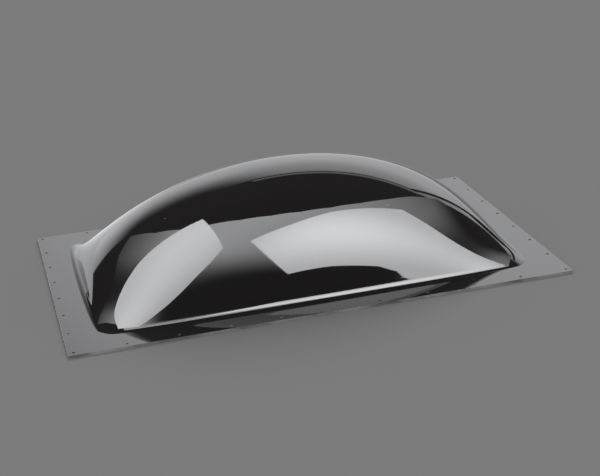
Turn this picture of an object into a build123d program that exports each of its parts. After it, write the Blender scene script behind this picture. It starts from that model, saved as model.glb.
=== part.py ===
from build123d import *
import math
import os

# Domed roof skylight, made of one sheet of dark glossy acrylic. The sheet is heated, clamped
# round a rectangular opening with cut corners, and blown up through it. What stayed under the
# clamp is the flat flange, which is screwed down on the roof curb. The piece is hollow and
# open underneath. Sizes are millimetres, +Z is up and +X runs along the length. The origin is
# the middle of the flange's underside.

# Flange: the flat border that the clamp held, measured to the foot of the fold
flange_length = 762.0
flange_width = 457.0
end_strip = 41.0
side_strip = 35.5
sheet_thickness = 4.0
flange_corner_radius = 1.5

# Dome: its rise above the top of the flange. The sheet stretches as it is blown, so it is
# thinnest at the crown.
dome_rise = 158.0
crown_thickness = 3.2

# Form of the blown sheet. A greater bow depth gives leaner shoulders, the corner cut is the
# leg of the clamp's chamfer, and the corner lift says how steeply the sheet leaves the chamfer.
# A higher firmness keeps the chamfer's effect close to the corner.
bow_depth = 86.0
corner_cut = 20.0
corner_lift = 0.08
corner_firmness = 16

# Fold between dome and flange: its radius on the hollow side of the bend, and how deep the
# clamp's edge bit into it, which leaves a fine crease at the foot
fold_radius = 14.0
fold_crease = 0.3

# Screw holes at even pitch on all four sides, one at each corner
hole_diameter = 4.8
hole_inset = 8.0
hole_spaces_long = 10
hole_spaces_short = 7

# The blown surface passes through a grid of points, closer together towards the edges. It
# runs a little past the clamped edge and dips below it there, so that it is cut off cleanly.
point_count_long = 37
point_count_wide = 29
point_crowding_deg = 72.0
surface_margin = 1.2
surface_dip = 0.5
surface_tolerance = 0.05

# How far a trimming block stands clear of what it trims
trim_clearance = 20.0


def edge_angle(half_size, rise):
    """Slope of the blown sheet, in radians, where it leaves the middle of a straight edge."""
    return math.atan(rise * (rise + 2.0 * bow_depth) / (half_size * bow_depth))


def half_dome(flange_size, strip):
    """Half the dome's size at the edge that the fold rounds, so that its foot ends at the strip."""
    foot = flange_size / 2 - strip
    crease_reach = math.sqrt(fold_radius**2 - (fold_radius - fold_crease) ** 2)
    half_size = foot
    for _ in range(20):
        half_size = foot + crease_reach - fold_radius * math.tan(edge_angle(half_size, dome_rise) / 2)
    return half_size


def blown_height(x, y, half_length, half_width, rise):
    """Height above the clamped edge of a sheet blown through an opening with cut corners."""
    sides = (1.0 - (x / half_length) ** 2) * (1.0 - (y / half_width) ** 2)
    reach = half_length + half_width - corner_cut
    spread = max(abs(x) + abs(y), reach / 4)
    chamfer = corner_lift * ((reach / spread) ** corner_firmness - 1.0)
    fill = sides + chamfer - math.hypot(sides, chamfer)
    crown_term = rise * (rise + 2.0 * bow_depth)
    return crown_term * fill / (bow_depth + math.sqrt(bow_depth**2 + crown_term * max(fill, 0.0)))


def point_places(half_size, count):
    """Places from edge to edge, closer together towards the edges."""
    crowding = math.radians(point_crowding_deg)
    scale = (half_size + surface_margin) / math.sin(crowding)
    steps = count - 1
    return [scale * math.sin(crowding * (2 * step / steps - 1)) for step in range(count)]


def blown_surface(half_length, half_width, rise, base_z):
    """Smooth face through the grid of heights, with its clamped edge at base_z."""
    full_rise = rise + surface_dip
    floor_z = base_z - surface_dip
    rows = []
    for x in point_places(half_length, point_count_long):
        row = []
        for y in point_places(half_width, point_count_wide):
            row.append(Vector(x, y, floor_z + blown_height(x, y, half_length, half_width, full_rise)))
        rows.append(row)
    return Face.make_surface_from_array_of_points(rows, tol=surface_tolerance, min_deg=3, max_deg=5)


def under_surface(half_length, half_width, rise, base_z):
    """Quarter of the solid between the plane at base_z and the blown surface."""
    depth = rise + trim_clearance
    column = Solid.extrude(blown_surface(half_length, half_width, rise, base_z), Vector(0, 0, -2 * depth))
    trim = Pos(0, 0, base_z) * Box(
        half_length + trim_clearance,
        half_width + trim_clearance,
        depth,
        align=(Align.MIN, Align.MIN, Align.MIN),
    )
    return (column & trim).solids().sort_by(SortBy.VOLUME)[-1]


def flange_quarter(top_z):
    """Quarter of the flat plate, its outer corner slightly rounded."""
    plate = Box(
        flange_length / 2,
        flange_width / 2,
        top_z,
        align=(Align.MIN, Align.MIN, Align.MIN),
    )
    outer_corner = plate.edges().filter_by(Axis.Z).sort_by(SortBy.DISTANCE)[-1]
    return fillet(outer_corner, flange_corner_radius)


def fold_line(body, z):
    """The curved edge where the blown surface meets a face of the flange at height z."""
    level = body.edges().filter_by_position(Axis.Z, z - surface_tolerance, z + surface_tolerance)
    return level.filter_by(GeomType.BSPLINE)


def sheet_quarter():
    """Quarter of the sheet: flange and dome, joined by a fold of constant wall."""
    half_length = half_dome(flange_length, end_strip)
    half_width = half_dome(flange_width, side_strip)
    crease_z = sheet_thickness - fold_crease
    outside = under_surface(half_length, half_width, dome_rise + fold_crease, crease_z)
    body = flange_quarter(crease_z) + outside
    body = fillet(fold_line(body, crease_z), fold_radius)
    body = body + flange_quarter(sheet_thickness)

    inner_half_length = half_length - sheet_thickness * math.tan(edge_angle(half_length, dome_rise) / 2)
    inner_half_width = half_width - sheet_thickness * math.tan(edge_angle(half_width, dome_rise) / 2)
    inner_rise = dome_rise + sheet_thickness - crown_thickness
    body = body - under_surface(inner_half_length, inner_half_width, inner_rise, 0.0)
    return fillet(fold_line(body, 0.0), fold_radius + sheet_thickness)


def screw_holes():
    """Cutters for the row of holes that runs round the flange."""
    span_long = flange_length - 2 * hole_inset
    span_short = flange_width - 2 * hole_inset
    pitch_long = span_long / hole_spaces_long
    pitch_short = span_short / hole_spaces_short
    cutter = Cylinder(hole_diameter / 2, sheet_thickness, align=(Align.CENTER, Align.CENTER, Align.MIN))
    long_rows = GridLocations(pitch_long, span_short, hole_spaces_long + 1, 2)
    short_rows = GridLocations(span_long, pitch_short, 2, hole_spaces_short - 1)
    return [place * cutter for place in [*long_rows, *short_rows]]


def skylight_dome():
    """The whole sheet, with its screw holes."""
    body = sheet_quarter()
    body = body + mirror(body, Plane.YZ)
    body = body + mirror(body, Plane.XZ)
    return body - screw_holes()


os.makedirs("parts", exist_ok=True)
export_step(skylight_dome(), "parts/skylight_dome.step")
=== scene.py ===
import math

import bmesh
import bpy
from mathutils import Matrix, Vector


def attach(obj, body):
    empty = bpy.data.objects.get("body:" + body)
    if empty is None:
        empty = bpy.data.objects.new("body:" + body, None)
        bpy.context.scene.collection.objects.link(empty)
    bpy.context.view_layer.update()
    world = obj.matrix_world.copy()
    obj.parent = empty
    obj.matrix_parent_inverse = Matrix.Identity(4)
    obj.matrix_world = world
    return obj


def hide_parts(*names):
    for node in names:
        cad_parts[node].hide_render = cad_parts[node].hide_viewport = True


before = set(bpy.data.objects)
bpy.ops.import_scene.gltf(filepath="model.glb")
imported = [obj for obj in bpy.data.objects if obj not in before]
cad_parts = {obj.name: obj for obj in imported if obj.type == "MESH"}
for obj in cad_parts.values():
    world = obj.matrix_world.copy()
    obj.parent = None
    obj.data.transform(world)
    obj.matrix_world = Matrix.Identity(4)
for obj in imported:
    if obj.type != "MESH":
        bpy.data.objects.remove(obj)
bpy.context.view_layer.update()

# Sizes in metres, as in the part's source
FLANGE_HALF_LENGTH = 0.381
FLANGE_HALF_WIDTH = 0.2285
FLANGE_CORNER_RADIUS = 0.0015
SHEET_THICKNESS = 0.004
CROWN_THICKNESS = 0.0032
DOME_RISE = 0.158
FOLD_RADIUS = 0.014
FOLD_CREASE = 0.0003
HOLE_DIAMETER = 0.0048
HOLE_INSET = 0.008
HOLE_SPACES_LONG = 10
HOLE_SPACES_SHORT = 7

# Form of the blown sheet: how lean its shoulders are, and what the clamp's cut corners do to it
BOW_DEPTH = 0.086
CORNER_CUT = 0.020
CORNER_LIFT = 0.08
CORNER_FIRMNESS = 16

# How far below the clamped edge the blown surface starts
SURFACE_DIP = 0.0005

# The sheet's two sides. Heights are of the formula's own zero (base), of the clamped edge
# (clamp) and of the flat flange beside it (face).
OUTSIDE = {
    "half_length": 0.33456,
    "half_width": 0.18550,
    "rise": DOME_RISE + FOLD_CREASE + SURFACE_DIP,
    "base": SHEET_THICKNESS - FOLD_CREASE - SURFACE_DIP,
    "clamp": SHEET_THICKNESS - FOLD_CREASE,
    "face": SHEET_THICKNESS,
    "fold": FOLD_RADIUS,
}
HOLLOW = {
    "half_length": 0.33228,
    "half_width": 0.18258,
    "rise": DOME_RISE + SHEET_THICKNESS - CROWN_THICKNESS + SURFACE_DIP,
    "base": -SURFACE_DIP,
    "clamp": 0.0,
    "face": 0.0,
    "fold": FOLD_RADIUS + SHEET_THICKNESS,
}

# Each side is a net of cells, laid in rings from the sawn edge to the crown's ridge line.
# Ring 0 is the edge, ring 1 lies a narrow strip outside the fold's foot, and the fold follows.
NET_LONG = 220
NET_WIDE = 140
NET_CROWDING = math.radians(60)
FOLD_RINGS = 10
FIRST_FOLD_RING = 2
LAST_FOLD_RING = FIRST_FOLD_RING + FOLD_RINGS
FOOT_STRIP = 0.0006
RIDGE_HALF_LENGTH = 0.24

# Rings above the fold: how much of their spacing is even, and the power that crowds the rest
# towards the fold
RING_EVENNESS = 0.35
RING_CROWDING = 1.6

# Search for the fold's start: the share of the way where it begins, and its halvings
SEARCH_START = 0.3
SEARCH_STEPS = 26

# The step over which a slope is taken, and lengths that count as none
SLOPE_STEP = 0.00002
NEARLY_NOTHING = 1e-9
ON_THE_LINE = 1e-6

# Round stretches, and the angle past which faces meet in a sharp edge
CORNER_SEGMENTS = 10
HOLE_SEGMENTS = 48
SHARP_ANGLE = math.radians(9.5)

# The sawn finish comes second among the sheet's materials
SAWN = 1

# Studio
FLOOR_SIZE = 14.0
FLOOR_COLOUR = (0.205, 0.205, 0.205, 1.0)
LAMP_COLOUR = (0.965, 0.975, 1, 1)
WHITE = (1, 1, 1, 1)
BLACK = (0, 0, 0, 1)


def blown_height(form, x, y):
    """Height of the blown sheet at a place, for a clamp with cut corners."""
    half_length, half_width, rise = form["half_length"], form["half_width"], form["rise"]
    sides = (1 - (x / half_length) ** 2) * (1 - (y / half_width) ** 2)
    reach = half_length + half_width - CORNER_CUT
    spread = max(abs(x) + abs(y), reach / 4)
    chamfer = CORNER_LIFT * ((reach / spread) ** CORNER_FIRMNESS - 1)
    fill = sides + chamfer - math.hypot(sides, chamfer)
    crown = rise * (rise + 2 * BOW_DEPTH)
    return form["base"] + crown * fill / (BOW_DEPTH + math.sqrt(BOW_DEPTH**2 + crown * max(fill, 0)))


def blown_normal(form, x, y):
    """Outward direction of the blown sheet, with slopes taken towards the middle."""
    level = blown_height(form, x, y)
    slope_x = (level - blown_height(form, x - SLOPE_STEP, y)) / SLOPE_STEP
    slope_y = (level - blown_height(form, x, y - SLOPE_STEP)) / SLOPE_STEP
    return Vector((-slope_x, -slope_y, 1)).normalized()


def fold_start(form, ridge, rim):
    """Where the rolled fold leaves the blown sheet, as a share of the way from ridge to rim."""
    near, far = SEARCH_START, 1.0
    for limit, reach in ((form["half_length"], rim.x), (form["half_width"], rim.y)):
        if abs(reach) > NEARLY_NOTHING:
            far = min(far, limit / abs(reach))
    for _ in range(SEARCH_STEPS):
        middle = (near + far) / 2
        place = ridge.lerp(rim, middle)
        if abs(place.x) >= form["half_length"] or abs(place.y) >= form["half_width"]:
            far = middle
            continue
        level = blown_height(form, place.x, place.y) - form["clamp"]
        tilt = blown_normal(form, place.x, place.y).z
        if level > form["fold"] * (1 - tilt):
            near = middle
        else:
            far = middle
    return near


def fold_place(form, ring, contact):
    """Place on the rolled fold, which leaves the dome at contact, or on the strip at its foot."""
    normal = blown_normal(form, contact.x, contact.y)
    level_normal = Vector((normal.x, normal.y, 0))
    outward = level_normal.normalized()
    radius = form["fold"]
    centre = Vector((contact.x, contact.y, form["clamp"] + radius)) + radius * level_normal
    steep = math.acos(normal.z)
    foot = math.acos((form["clamp"] + radius - form["face"]) / radius)
    if ring < FIRST_FOLD_RING:
        place = centre - outward * (radius * math.sin(foot) - FOOT_STRIP)
        return Vector((place.x, place.y, form["face"]))
    bend = foot + (steep - foot) * (ring - FIRST_FOLD_RING) / FOLD_RINGS
    return centre - radius * (outward * math.sin(bend) + Vector((0, 0, math.cos(bend))))


def net_place(form, ring, rim, ridge):
    """Place of one net point on its line from the rim to the ridge."""
    if ring == 0:
        return Vector((rim.x, rim.y, form["face"]))
    contact = ridge.lerp(rim, fold_start(form, ridge, rim))
    if ring <= LAST_FOLD_RING:
        return fold_place(form, ring, contact)
    share = (ring - LAST_FOLD_RING) / (NET_WIDE // 2 - LAST_FOLD_RING)
    share = RING_EVENNESS * share + (1 - RING_EVENNESS) * share**RING_CROWDING
    place = contact.lerp(ridge, share)
    return Vector((place.x, place.y, blown_height(form, place.x, place.y)))


def crowded(share):
    """Place along a side, from -1 to 1, with even shares crowded towards its two corners."""
    return math.sin(NET_CROWDING * (2 * share - 1)) / math.sin(NET_CROWDING)


def sheet_face(net, form):
    """One side of the sheet: a flat grid whose points are moved onto the blown form."""
    known = {}
    made = bmesh.ops.create_grid(net, x_segments=NET_LONG, y_segments=NET_WIDE, size=1.0)
    for point in made["verts"]:
        i = round((point.co.x + 1) / 2 * NET_LONG)
        j = round((point.co.y + 1) / 2 * NET_WIDE)
        ring = min(i, NET_LONG - i, j, NET_WIDE - j)
        if ring in (j, NET_WIDE - j):
            spaces = NET_LONG - 2 * ring
            rim = Vector((crowded((i - ring) / spaces) * FLANGE_HALF_LENGTH,
                          FLANGE_HALF_WIDTH if j > NET_WIDE / 2 else -FLANGE_HALF_WIDTH, 0))
        else:
            spaces = NET_WIDE - 2 * ring
            rim = Vector((FLANGE_HALF_LENGTH if i > NET_LONG / 2 else -FLANGE_HALF_LENGTH,
                          crowded((j - ring) / spaces) * FLANGE_HALF_WIDTH, 0))
        # The form has two mirror planes, so each place is worked out in one quarter and kept
        key = (ring, round(abs(rim.x), 7), round(abs(rim.y), 7))
        if key not in known:
            ridge = Vector((min(abs(rim.x), RIDGE_HALF_LENGTH), 0, 0))
            known[key] = net_place(form, ring, Vector((abs(rim.x), abs(rim.y), 0)), ridge)
        place = known[key]
        point.co = (math.copysign(place.x, rim.x), math.copysign(place.y, rim.y), place.z)


def screw_places():
    """Middles of the row of holes that runs round the flange."""
    span_long = 2 * (FLANGE_HALF_LENGTH - HOLE_INSET)
    span_short = 2 * (FLANGE_HALF_WIDTH - HOLE_INSET)
    places = []
    for side in (-1, 1):
        for step in range(HOLE_SPACES_LONG + 1):
            along = -span_long / 2 + step * span_long / HOLE_SPACES_LONG
            places.append((along, side * span_short / 2))
        for step in range(1, HOLE_SPACES_SHORT):
            along = -span_short / 2 + step * span_short / HOLE_SPACES_SHORT
            places.append((side * span_long / 2, along))
    return places


def placed(name, data):
    """A new object in the scene, which holds a mesh, a lamp or a camera."""
    made = bpy.data.objects.new(name, data)
    bpy.context.scene.collection.objects.link(made)
    return made


def into_object(net, name, materials):
    """A new object made of a finished net."""
    mesh = bpy.data.meshes.new(name)
    net.to_mesh(mesh)
    net.free()
    for material in materials:
        mesh.materials.append(material)
    return placed(name, mesh)


class Shader:
    """Builds one material, or the world's light, node by node."""

    def __init__(self, name, world=None):
        self.holder = world or bpy.data.materials.new(name)
        self.holder.use_nodes = True
        self.end = "ShaderNodeOutputWorld" if world else "ShaderNodeOutputMaterial"
        self.tree = self.holder.node_tree
        self.tree.nodes.clear()

    def node(self, kind, settings=None, sockets=None):
        made = self.tree.nodes.new(kind)
        for key, value in (settings or {}).items():
            setattr(made, key, value)
        for key, value in (sockets or {}).items():
            if isinstance(value, Socket):
                self.tree.links.new(value.socket, made.inputs[key])
            else:
                made.inputs[key].default_value = value
        return made

    def out(self, kind, output, settings=None, sockets=None):
        return Socket(self, self.node(kind, settings, sockets).outputs[output])

    def finish(self, surface):
        self.node(self.end, None, {"Surface": surface})
        return self.holder


class Socket:
    """A node's output that takes part in Python expressions."""

    def __init__(self, shader, socket):
        self.shader = shader
        self.socket = socket

    def _maths(self, operation, first, second):
        return self.shader.out("ShaderNodeMath", 0, {"operation": operation}, {0: first, 1: second})

    def __add__(self, other):
        return self._maths("ADD", self, other)

    def __radd__(self, other):
        return self._maths("ADD", other, self)

    def __sub__(self, other):
        return self._maths("SUBTRACT", self, other)

    def __rsub__(self, other):
        return self._maths("SUBTRACT", other, self)

    def __mul__(self, other):
        return self._maths("MULTIPLY", self, other)

    def __rmul__(self, other):
        return self._maths("MULTIPLY", other, self)

    def __truediv__(self, other):
        return self._maths("DIVIDE", self, other)

    def __rtruediv__(self, other):
        return self._maths("DIVIDE", other, self)

    def __pow__(self, other):
        return self._maths("POWER", self, other)

    def between(self, low, high):
        """0 below low and 1 above high, with a soft step from one to the other."""
        return self.shader.out("ShaderNodeMapRange", 0, {"interpolation_type": "SMOOTHSTEP"}, {
            "Value": self, "From Min": low, "From Max": high})

    def part(self, axis):
        """One coordinate of a place."""
        return self.shader.out("ShaderNodeSeparateXYZ", axis, None, {0: self})

    def distance(self, x, y):
        """How far a place is from a point of its own flat surface."""
        return self.shader.out("ShaderNodeVectorMath", "Value", {"operation": "DISTANCE"}, {
            0: self, 1: (x, y, 0.0)})


def blended(shader, share, first, second):
    """A colour between two, by a Mix node's factor (0), its two colours (6, 7) and result (2)."""
    return shader.out("ShaderNodeMix", 2, {"data_type": "RGBA"}, {0: share, 6: first, 7: second})


def layered(shader, share, first, second):
    """The first surface where share is 0, and the second where it is 1."""
    return shader.out("ShaderNodeMixShader", 0, None, {0: share, 1: first, 2: second})


def noise(shader, place, scale, detail):
    return shader.out("ShaderNodeTexNoise", "Fac", None, {
        "Vector": place, "Scale": scale, "Detail": detail})


def emission(shader, colour, strength):
    return shader.out("ShaderNodeEmission", 0, None, {"Color": colour, "Strength": strength})


def background(shader, colour, strength):
    return shader.out("ShaderNodeBackground", 0, None, {"Color": colour, "Strength": strength})


def gloss_acrylic():
    """Dark cast acrylic, polished, with a haze of handling, fine fluff and a little dust."""
    shader = Shader("dark_acrylic_gloss")
    place = shader.out("ShaderNodeTexCoord", "Object")
    haze = noise(shader, place, 9.0, 4.0)
    wave = noise(shader, place, 7.0, 1.0)
    grain = noise(shader, place, 900.0, 2.0)
    specks = shader.out("ShaderNodeTexVoronoi", "Distance", None, {"Vector": place, "Scale": 42.0})
    chosen = noise(shader, place, 23.0, 0.0)
    dust = (1 - specks.between(0.018, 0.04)) * chosen.between(0.60, 0.66)
    fluff = haze.between(0.35, 0.8) * grain.between(0.45, 0.8)
    colour = blended(shader, dust, (0.0185, 0.0168, 0.0174, 1), (0.22, 0.22, 0.22, 1))
    colour = blended(shader, fluff * 0.02, colour, (0.3, 0.3, 0.3, 1))
    bump = shader.out("ShaderNodeBump", 0, None, {
        "Height": wave + dust * 0.1 + grain * 0.0008, "Strength": 1.0, "Distance": 0.00006})
    surface = shader.out("ShaderNodeBsdfPrincipled", "BSDF", None, {
        "Base Color": colour,
        "Roughness": haze.between(0.4, 0.75) * 0.025 + 0.022 + dust * 0.4,
        "IOR": 1.49,
        "Normal": bump,
    })
    return shader.finish(surface)


def sawn_acrylic():
    """The sheet's sawn edge and the drilled holes: matt, with fine saw marks and pale patches that
    are partly the frosted saw finish and partly painted highlight.
    """
    shader = Shader("dark_acrylic_sawn")
    place = shader.out("ShaderNodeTexCoord", "Object")
    marks = noise(shader, place, 420.0, 3.0)
    patches = noise(shader, place, 16.0, 3.0)
    # Pale patches: partly the frosted sawn finish, partly painted highlight that lightens the edge
    pale = marks * patches.between(0.3, 0.7)
    colour = blended(shader, pale, (0.09, 0.09, 0.092, 1), (0.55, 0.55, 0.555, 1))
    bump = shader.out("ShaderNodeBump", 0, None, {
        "Height": marks, "Strength": 0.6, "Distance": 0.0002})
    surface = shader.out("ShaderNodeBsdfPrincipled", "BSDF", None, {
        "Base Color": colour, "Roughness": marks * 0.2 + 0.42, "IOR": 1.49, "Normal": bump})
    return shader.finish(surface)


def flange_corner_edges(net):
    """The four upright edges at the corners of the sawn rectangle."""
    return [edge for edge in net.edges
            if abs(abs(edge.verts[0].co.x) - FLANGE_HALF_LENGTH) < ON_THE_LINE
            and abs(abs(edge.verts[0].co.y) - FLANGE_HALF_WIDTH) < ON_THE_LINE
            and abs(edge.verts[0].co.z - edge.verts[1].co.z) > SHEET_THICKNESS / 2]


def drill_screw_holes(sheet, materials):
    """Cuts the screw holes through the flange, with sawn walls."""
    drill = bmesh.new()
    for x, y in screw_places():
        bmesh.ops.create_cone(
            drill, cap_ends=True, segments=HOLE_SEGMENTS,
            radius1=HOLE_DIAMETER / 2, radius2=HOLE_DIAMETER / 2, depth=3 * SHEET_THICKNESS,
            matrix=Matrix.Translation((x, y, SHEET_THICKNESS / 2)))
    for face in drill.faces:
        face.material_index = SAWN
        face.smooth = True
    drills = into_object(drill, "screw_hole_drills", materials)
    cut = sheet.modifiers.new("screw_holes", "BOOLEAN")
    cut.operation = "DIFFERENCE"
    cut.solver = "EXACT"
    cut.material_mode = "INDEX"
    cut.object = drills
    bpy.context.view_layer.update()
    finished = sheet.evaluated_get(bpy.context.evaluated_depsgraph_get())
    drilled = bpy.data.meshes.new_from_object(finished)
    sheet.modifiers.clear()
    sheet.data = drilled
    bpy.data.objects.remove(drills)


def skylight_sheet():
    """The whole blown sheet, as one closed skin with its sawn edge and screw holes."""
    materials = [gloss_acrylic(), sawn_acrylic()]
    net = bmesh.new()
    sheet_face(net, OUTSIDE)
    outside_count = len(net.faces)
    sheet_face(net, HOLLOW)
    bmesh.ops.reverse_faces(net, faces=list(net.faces)[outside_count:])
    rims = [edge for edge in net.edges if edge.is_boundary]
    for face in bmesh.ops.bridge_loops(net, edges=rims)["faces"]:
        face.material_index = SAWN
    bmesh.ops.bevel(
        net, geom=flange_corner_edges(net), offset=FLANGE_CORNER_RADIUS,
        segments=CORNER_SEGMENTS, profile=0.5, affect="EDGES", material=-1)
    bmesh.ops.recalc_face_normals(net, faces=net.faces)
    for face in net.faces:
        face.smooth = True
    sheet = into_object(net, "skylight_dome_sheet", materials)
    drill_screw_holes(sheet, materials)
    sheet.data.set_sharp_from_angle(angle=SHARP_ANGLE)
    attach(sheet, "root")
    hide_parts("skylight_dome")


def floor_finish():
    """Matt grey; polished faces see a painted glow instead, a pale emission brighter towards both
    ends that stands in for a lit table top.
    """
    shader = Shader("studio_floor")
    surface = shader.out("ShaderNodeBsdfPrincipled", "BSDF", None, {
        "Base Color": FLOOR_COLOUR, "Roughness": 0.95, "Specular IOR Level": 0.0})
    along = shader.out("ShaderNodeTexCoord", "Object").part("X")
    # Painted light: a glow seen only in reflections, brighter towards both ends
    ends = (1 - along.between(-0.38, 0.1)) + along.between(1.0, 1.8)
    pale = emission(shader, blended(shader, ends * 0.75 + 0.25, BLACK, LAMP_COLOUR), 1.3)
    mirrored = shader.out("ShaderNodeLightPath", "Is Glossy Ray")
    return shader.finish(layered(shader, mirrored, surface, pale))


def studio_floor():
    net = bmesh.new()
    bmesh.ops.create_grid(net, x_segments=1, y_segments=1, size=FLOOR_SIZE / 2)
    floor = into_object(net, "floor", [floor_finish()])


def toward(azimuth, elevation):
    """Unit vector in a direction: azimuth 0 is the front, -Y, and 90 the right, +X."""
    a, e = math.radians(azimuth), math.radians(elevation)
    return Vector((math.sin(a) * math.cos(e), -math.cos(a) * math.cos(e), math.sin(e)))


def glow(name, level, mask=None):
    """A light surface; mask is a function that gives its brightness at a place on the panel."""
    shader = Shader(name)
    bright = emission(shader, LAMP_COLOUR, level)
    if mask is None:
        return shader.finish(bright)
    share = mask(shader.out("ShaderNodeTexCoord", "Object"))
    return shader.finish(layered(shader, share, emission(shader, BLACK, 0.0), bright))


def light_panel(name, azimuth, elevation, distance, outline, material):
    """A flat light that faces the object from a direction, seen in reflections only."""
    facing = toward(azimuth, elevation)
    level_way = Vector((0, 0, 1)).cross(facing)
    if level_way.length < ON_THE_LINE:
        level_way = Vector((1, 0, 0))
    level_way.normalize()
    up_way = facing.cross(level_way)
    net = bmesh.new()
    net.faces.new([net.verts.new((u, v, 0)) for u, v in outline])
    panel = into_object(net, name, [material])
    turn = Matrix((level_way, up_way, facing)).transposed().to_4x4()
    panel.matrix_world = Matrix.Translation(facing * distance) @ turn
    panel.visible_camera = False
    panel.visible_diffuse = False
    panel.visible_shadow = False


def left_fade(place):
    return 1 - place.distance(0.1, 0.1).between(0.1, 1.5) * 0.32


def right_fade(place):
    return 1 - place.distance(-0.4, 0.1).between(0.0, 1.1) * 0.42


def overhead_fade(place):
    """Brightest at the middle of its arched back edge, and soft towards both sides."""
    u, v = place.part("X"), place.part("Y")
    front = (v + u * 1.6).between(-2.85, -1.55)
    right = 1 - (u - v * 0.5).between(2.25, 3.05)
    left = 1 - (u * -1.0 - v * 0.5).between(1.0, 1.8)
    return front * right * left / (1 + (place.distance(-0.2, -0.5) / 1.95) ** 2.4)


def back_fade(place):
    """Soft along its slanting left side, and dimmer at the foot and the top."""
    u, v = place.part("X"), place.part("Y")
    slant = u * -0.91 + 1.2 * 0.91 + (v - 1.2) * -0.41
    low = 0.55 + 0.45 * v.between(0.1, 1.6)
    left_foot = (1 - v.between(0.2, 1.2)) * u.between(0.3, 1.2) * 0.45
    return slant.between(-0.15, 1.15) * (1 - v.between(3.0, 3.9) * 0.5) * low * 0.95 + left_foot


def studio_panels():
    """Two soft lights, a screen overhead, and screens behind: what the polished sheet mirrors."""
    light_panel("soft_light_left", -80, 66, 2.0, [
        (-0.50, 0.37), (0.20, 0.40), (0.88, 0.43), (1.12, 0.31), (1.28, 0.19), (1.50, 0.08),
        (1.50, -0.7), (-0.60, -1.1), (-1.30, -0.9), (-1.20, -0.68), (-1.09, -0.44), (-0.82, -0.07),
    ], glow("light_left", 12.9, left_fade))
    light_panel("soft_light_right", 45, 48, 2.0, [
        (-0.78, 0.74), (-0.42, 0.62), (0.02, 0.56), (0.42, 0.44), (0.78, 0.33), (0.66, 0.05),
        (0.52, -0.20), (0.40, -0.60), (0.0, -1.10), (-0.5, -1.5), (-1.15, -1.5), (-1.12, -1.30),
        (-0.93, -1.12), (-0.83, -0.95), (-0.81, -0.80), (-0.98, -0.63), (-1.19, -0.54), (-0.98, 0.11),
    ], glow("light_right", 16.6, right_fade))
    light_panel("screen_overhead", 0, 90, 2.4, [
        (0.52, -0.66), (0.86, -0.60), (1.24, -0.34), (1.66, 0.09), (2.34, 0.91), (4.6, 3.4),
        (4.6, -2.5), (2.2, -4.4), (-0.6, -4.4), (-3.4, -1.0), (-3.6, 5.2), (-2.73, 5.06),
        (-1.57, 1.91), (-1.0, 0.76), (-0.53, 0.08), (-0.15, -0.32), (0.19, -0.56),
    ], glow("light_overhead", 6.6, overhead_fade))

    # Behind: a broad screen, and narrow strips above and beside it, past a dark gap
    light_panel("screen_back", 180, 0, 2.6, [
        (1.56, -0.3), (1.54, 0.3), (1.40, 1.2), (1.2, 3.4), (-1.3, 3.5), (-3.75, 3.35),
        (-2.92, 0.3), (-2.8, -0.3),
    ], glow("light_back", 2.15, back_fade))
    light_panel("screen_back_top", 180, 0, 2.6, [
        (-0.2, 3.62), (-1.3, 3.64), (-4.35, 3.5), (-4.5, 4.0), (-1.3, 4.0), (-0.3, 3.9),
    ], glow("light_back_top", 1.1))
    light_panel("screen_back_side", 180, 0, 2.6, [
        (-3.30, 0.9), (-4.05, 3.5), (-4.45, 3.5), (-3.70, 0.9),
    ], glow("light_back_side", 1.6))


def studio_world():
    """Plain soft light on colours; polished faces see the dark studio and its panels instead."""
    world = bpy.context.scene.world or bpy.data.worlds.new("studio")
    bpy.context.scene.world = world
    shader = Shader("studio", world)
    mirrored = shader.out("ShaderNodeLightPath", "Is Glossy Ray")
    seen = shader.out("ShaderNodeLightPath", "Is Camera Ray")
    lit = layered(shader, mirrored, background(shader, WHITE, 0.72), background(shader, WHITE, 0.01))
    shader.finish(layered(shader, seen, lit, background(shader, FLOOR_COLOUR, 1.0)))


def soft_back_sun():
    """A soft sun from behind, which lays the object's shadow in front."""
    lamp = bpy.data.lights.new("soft_back_sun", "SUN")
    lamp.energy = 1.55
    lamp.angle = math.radians(22)
    sun = placed("soft_back_sun", lamp)
    sun.matrix_world = toward(160, 32).to_track_quat("Z", "Y").to_matrix().to_4x4()
    sun.visible_glossy = False


# The camera's place and turn, worked out from the four corners of the flange
CAMERA_PLACE = Vector((-0.4681, -1.8302, 0.8067))
CAMERA_RIGHT = Vector((0.96001, -0.27556, -0.04941))
CAMERA_UP = Vector((0.14897, 0.35342, 0.92353))
CAMERA_BACK = Vector((-0.23702, -0.89396, 0.38034))
CAMERA_LENS = 76.853
SENSOR_WIDTH = 36.0


def photo_camera():
    lens = bpy.data.cameras.new("photo_camera")
    lens.sensor_fit = "HORIZONTAL"
    lens.sensor_width = SENSOR_WIDTH
    lens.lens = CAMERA_LENS
    camera = placed("photo_camera", lens)
    turn = Matrix((CAMERA_RIGHT, CAMERA_UP, CAMERA_BACK)).transposed().to_4x4()
    camera.matrix_world = Matrix.Translation(CAMERA_PLACE) @ turn
    bpy.context.scene.camera = camera


skylight_sheet()
studio_floor()
studio_panels()
studio_world()
soft_back_sun()
photo_camera()

bpy.context.scene.view_settings.view_transform = "Standard"
